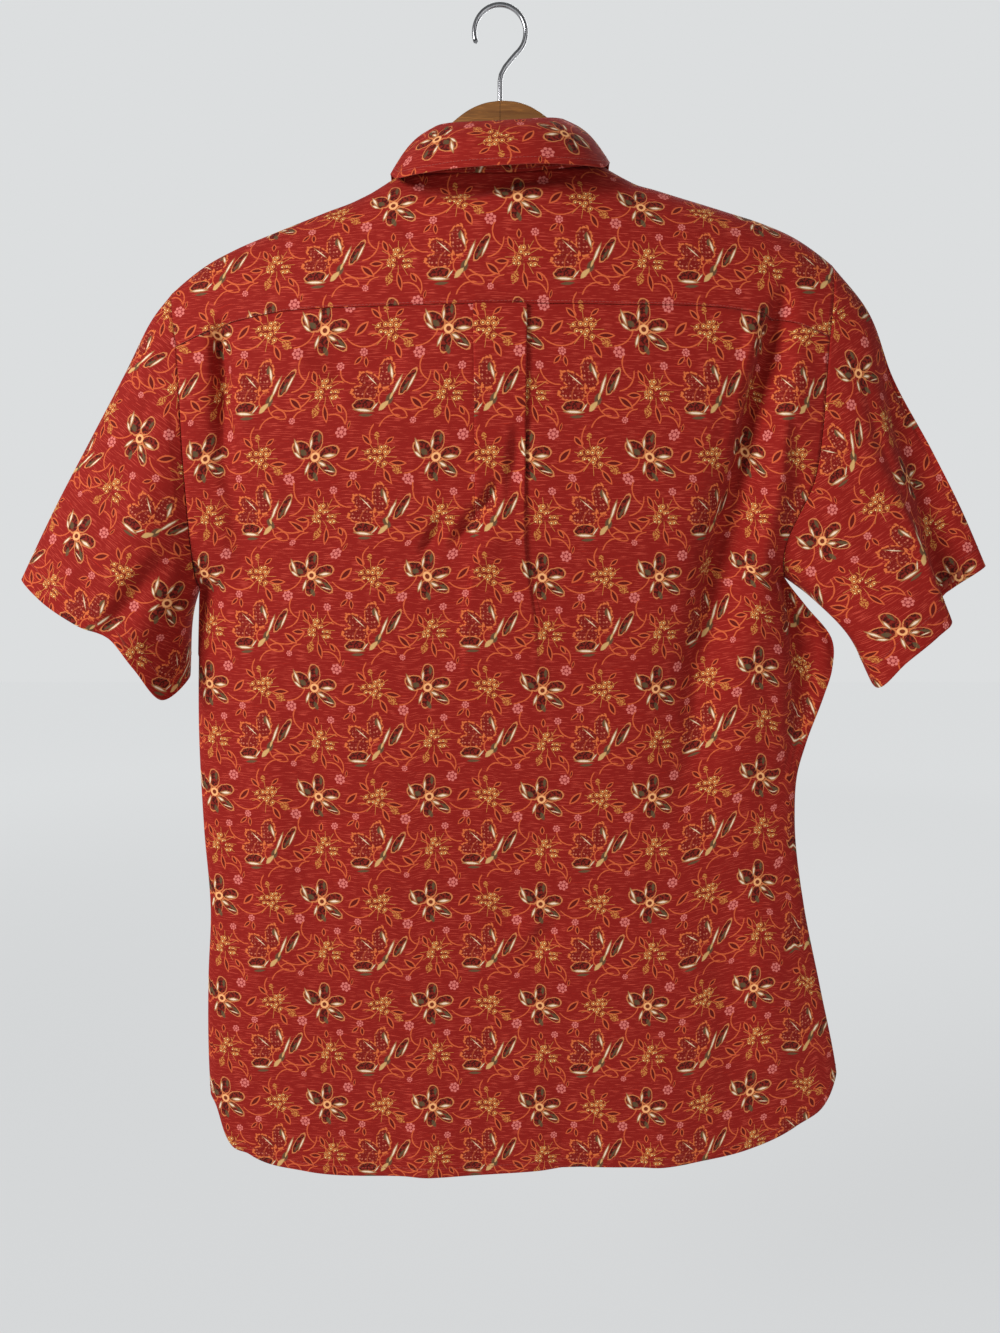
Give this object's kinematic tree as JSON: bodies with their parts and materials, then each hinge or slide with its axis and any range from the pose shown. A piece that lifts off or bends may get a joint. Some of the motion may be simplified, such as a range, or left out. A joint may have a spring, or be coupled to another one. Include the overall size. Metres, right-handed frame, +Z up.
{
  "type": "short-sleeve shirt on a wooden hanger",
  "caption": "Short-sleeve shirt with turned-down collar, back yoke and box pleat, hanging open-hemmed on a contoured wooden hanger with a wire hook.",
  "frame": {"origin": "inner top of the hanger's hook, where the rail that carries it touches", "axes": "+Z up, the shirt's back faces -Y and its buttoned front +Y, +X towards the wearer's right"},
  "size_m": [0.74, 0.1332, 0.9025],
  "materials": {
    "cotton": "matt woven cotton with an all-over printed floral repeat",
    "wood": "satin varnished wood",
    "steel": "polished bent wire",
    "button": "semi-gloss resin"
  },
  "bodies": {
    "root": {"back": "cotton", "yoke": "cotton", "front_left": "cotton", "front_right": "cotton", "sleeve_left": "cotton", "sleeve_right": "cotton", "collar_stand": "cotton", "collar_leaf": "cotton", "button_collar": "button", "button_1": "button", "button_2": "button", "button_3": "button", "button_4": "button", "button_5": "button", "button_6": "button", "button_7": "button", "hanger_left": "wood", "hanger_right": "wood", "hanger_hook": "steel"}
  },
  "joints": []
}
